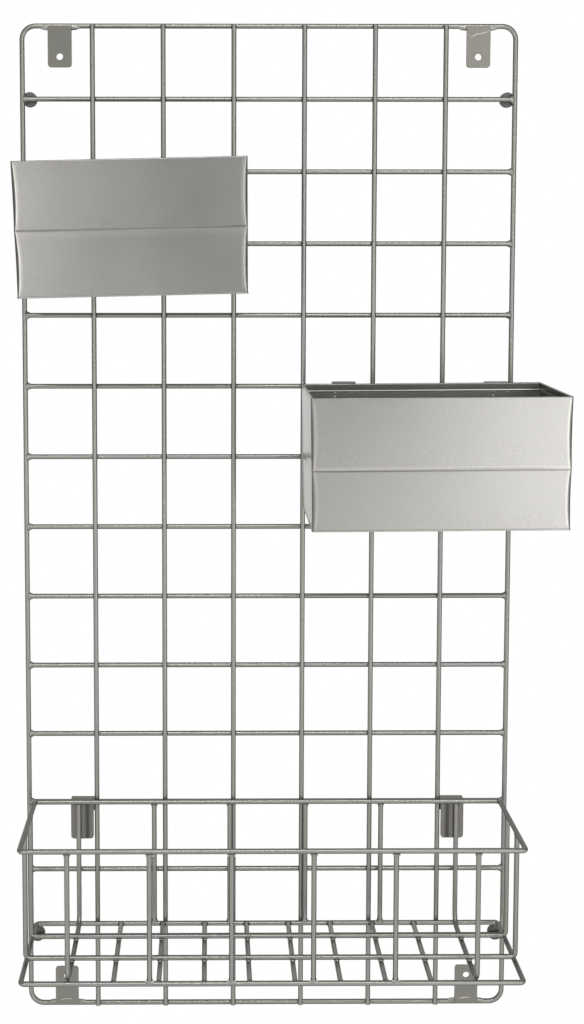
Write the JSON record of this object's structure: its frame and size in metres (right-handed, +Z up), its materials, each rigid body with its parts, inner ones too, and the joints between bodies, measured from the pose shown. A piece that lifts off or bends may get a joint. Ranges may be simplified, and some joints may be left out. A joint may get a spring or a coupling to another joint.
{
  "type": "wall organizer",
  "caption": "Welded wire grid panel for a wall, with a wire basket and sheet-metal bins that hook over its wires and lift off.",
  "frame": {"origin": "middle of the wall plane behind the grid panel", "axes": "+Z up, -Y out from the wall towards the user, +X to the right as seen from the front"},
  "size_m": [0.4726, 0.1274, 0.9144],
  "materials": {
    "wire": "satin metallic paint",
    "sheet": "satin metallic paint",
    "spacer": "matt"
  },
  "bodies": {
    "panel": {"frame_loop": "wire", "upright_1": "wire", "upright_2": "wire", "upright_3": "wire", "upright_4": "wire", "upright_5": "wire", "upright_6": "wire", "cross_wire_1": "wire", "cross_wire_2": "wire", "cross_wire_3": "wire", "cross_wire_4": "wire", "cross_wire_5": "wire", "cross_wire_6": "wire", "cross_wire_7": "wire", "cross_wire_8": "wire", "cross_wire_9": "wire", "cross_wire_10": "wire", "cross_wire_11": "wire", "cross_wire_12": "wire", "cross_wire_13": "wire", "screw_tab_top_left": "wire", "screw_tab_bottom_left": "wire", "screw_tab_top_right": "wire", "screw_tab_bottom_right": "wire", "wall_spacer_top_left": "spacer", "wall_spacer_bottom_left": "spacer", "wall_spacer_top_right": "spacer", "wall_spacer_bottom_right": "spacer"},
    "basket": {"basket_top_rim": "wire", "basket_bottom_rim": "wire", "basket_end_hoop_left": "wire", "basket_end_hoop_right": "wire", "basket_floor_wire_1": "wire", "basket_floor_wire_2": "wire", "basket_floor_wire_3": "wire", "basket_floor_wire_4": "wire", "basket_floor_wire_5": "wire", "basket_floor_wire_6": "wire", "basket_floor_wire_7": "wire", "basket_floor_wire_8": "wire", "basket_rear_upright_1": "wire", "basket_rear_upright_2": "wire", "basket_rear_upright_3": "wire", "basket_rear_upright_4": "wire", "basket_front_upright_1": "wire", "basket_front_upright_2": "wire", "basket_front_upright_3": "wire", "basket_front_upright_4": "wire", "basket_long_hoop_rear": "wire", "basket_long_hoop_front": "wire", "basket_hook_left": "wire", "basket_hook_right": "wire"},
    "upper_bin": {"upper_bin_shell": "sheet", "upper_bin_pan": "sheet", "upper_bin_hook_left": "wire", "upper_bin_hook_right": "wire"},
    "lower_bin": {"lower_bin_shell": "sheet", "lower_bin_pan": "sheet", "lower_bin_hook_left": "wire", "lower_bin_hook_right": "wire"}
  },
  "joints": [
    {"name": "basket_lift", "type": "slide", "parent": "panel", "child": "basket", "axis": [0, 0, 1], "range_m": [0, 0.015]},
    {"name": "upper_bin_lift", "type": "slide", "parent": "panel", "child": "upper_bin", "axis": [0, 0, 1], "range_m": [0, 0.015]},
    {"name": "lower_bin_lift", "type": "slide", "parent": "panel", "child": "lower_bin", "axis": [0, 0, 1], "range_m": [0, 0.015]}
  ]
}
